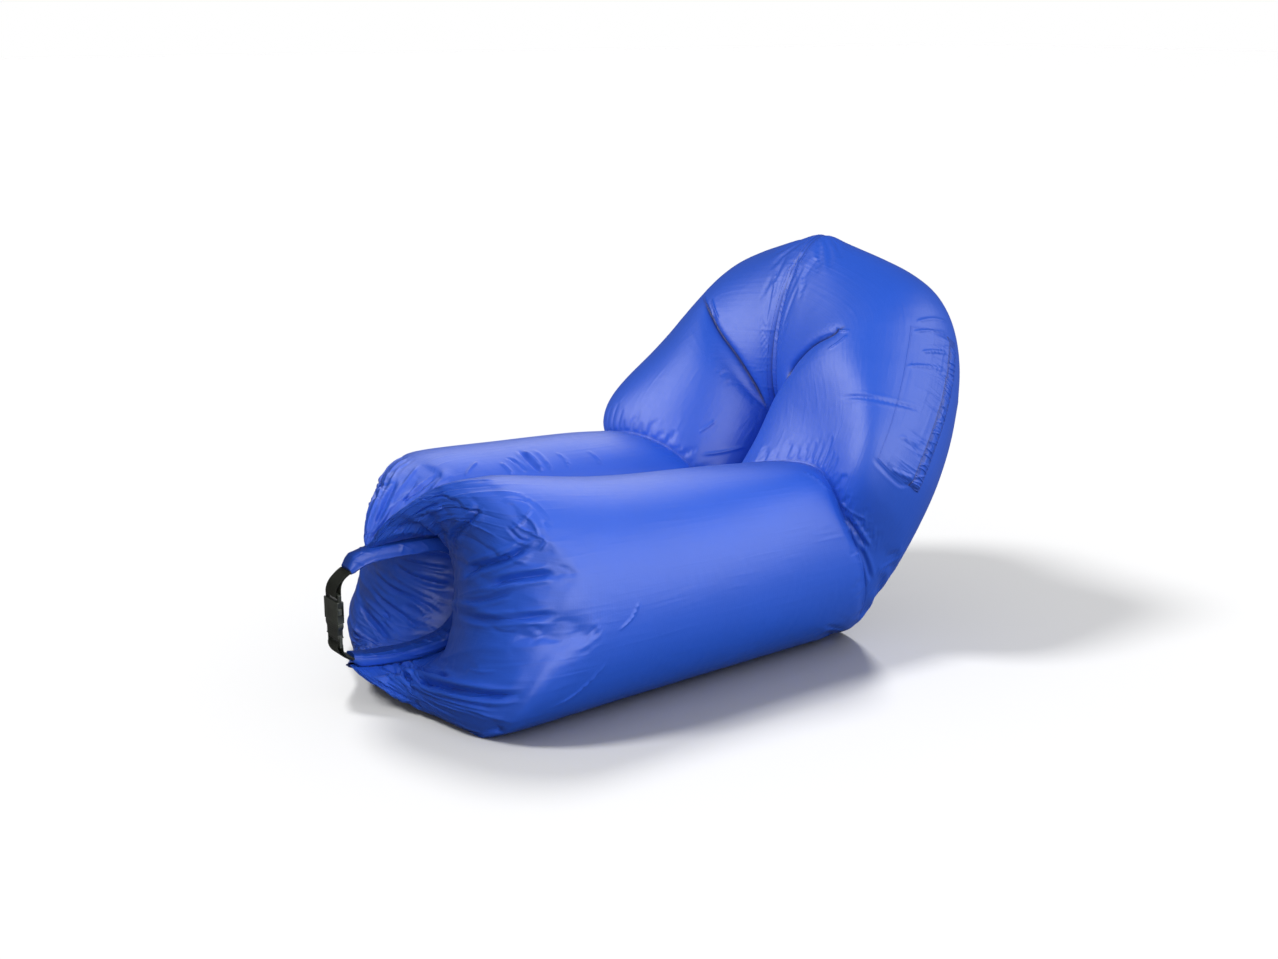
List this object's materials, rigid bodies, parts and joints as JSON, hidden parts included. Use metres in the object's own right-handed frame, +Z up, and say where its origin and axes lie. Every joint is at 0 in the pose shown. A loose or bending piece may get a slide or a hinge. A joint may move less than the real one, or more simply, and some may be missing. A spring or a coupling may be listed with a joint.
{
  "type": "inflatable air lounger",
  "caption": "Air-filled fabric lounger: paired seat tubes bend up into a back and meet in a hood; the mouth is rolled and clipped into a ring in front.",
  "frame": {"origin": "centre of the footprint of the whole part, on the floor plane", "axes": "+Z up, -Y towards the feet and the rolled mouth, +Y towards the back, +X towards the sitter's left, the side with the pocket"},
  "size_m": [0.7924, 1.2059, 0.7302],
  "materials": {
    "lounger_fabric": "satin ripstop polyester, royal blue",
    "liner_film": "translucent airtight film, hidden inside the fabric",
    "pocket_elastic": "gathered elastic hem in the lounger's blue",
    "webbing": "woven polypropylene webbing, black",
    "buckle_plastic": "moulded acetal, fine matt texture, black",
    "strip_plastic": "flexible strip hidden inside the roll"
  },
  "bodies": {
    "lounger": {"base_panel_right": "lounger_fabric", "base_panel_left": "lounger_fabric", "back_panel_right": "lounger_fabric", "back_panel_left": "lounger_fabric", "hood_panel_right": "lounger_fabric", "hood_panel_left": "lounger_fabric", "front_gather_right": "lounger_fabric", "front_gather_left": "lounger_fabric", "roll_top": "lounger_fabric", "pocket_panel": "lounger_fabric", "pocket_elastic": "pocket_elastic", "air_liner_right": "liner_film", "air_liner_left": "liner_film", "roll_stiffener": "strip_plastic", "webbing_tab_upper": "webbing", "webbing_tab_lower": "webbing"},
    "socket": {"buckle_socket": "buckle_plastic"},
    "plug": {"buckle_plug": "buckle_plastic"},
    "arm_right": {"plug_arm_right": "buckle_plastic"},
    "arm_left": {"plug_arm_left": "buckle_plastic"}
  },
  "joints": [
    {"name": "socket_swing", "type": "hinge", "parent": "lounger", "child": "socket", "pos_m": [0, -0.5965, 0.1987], "axis": [-1, 0, 0], "range_deg": [-6, 12], "deforming": ["webbing_tab_lower"]},
    {"name": "plug_release", "type": "slide", "parent": "socket", "child": "plug", "axis": [0, 0, -1], "range_m": [0, 0.03], "deforming": ["webbing_tab_lower", "plug_arm_right", "plug_arm_left"]},
    {"name": "arm_squeeze_right", "type": "hinge", "parent": "plug", "child": "arm_right", "pos_m": [0.015, -0.5965, 0.1508], "axis": [0, -1, 0], "range_deg": [0, 12], "stiffness_Nm_per_rad": 1.2},
    {"name": "arm_squeeze_left", "type": "hinge", "parent": "plug", "child": "arm_left", "pos_m": [-0.015, -0.5965, 0.1508], "axis": [0, 1, 0], "range_deg": [0, 12], "stiffness_Nm_per_rad": 1.2}
  ]
}
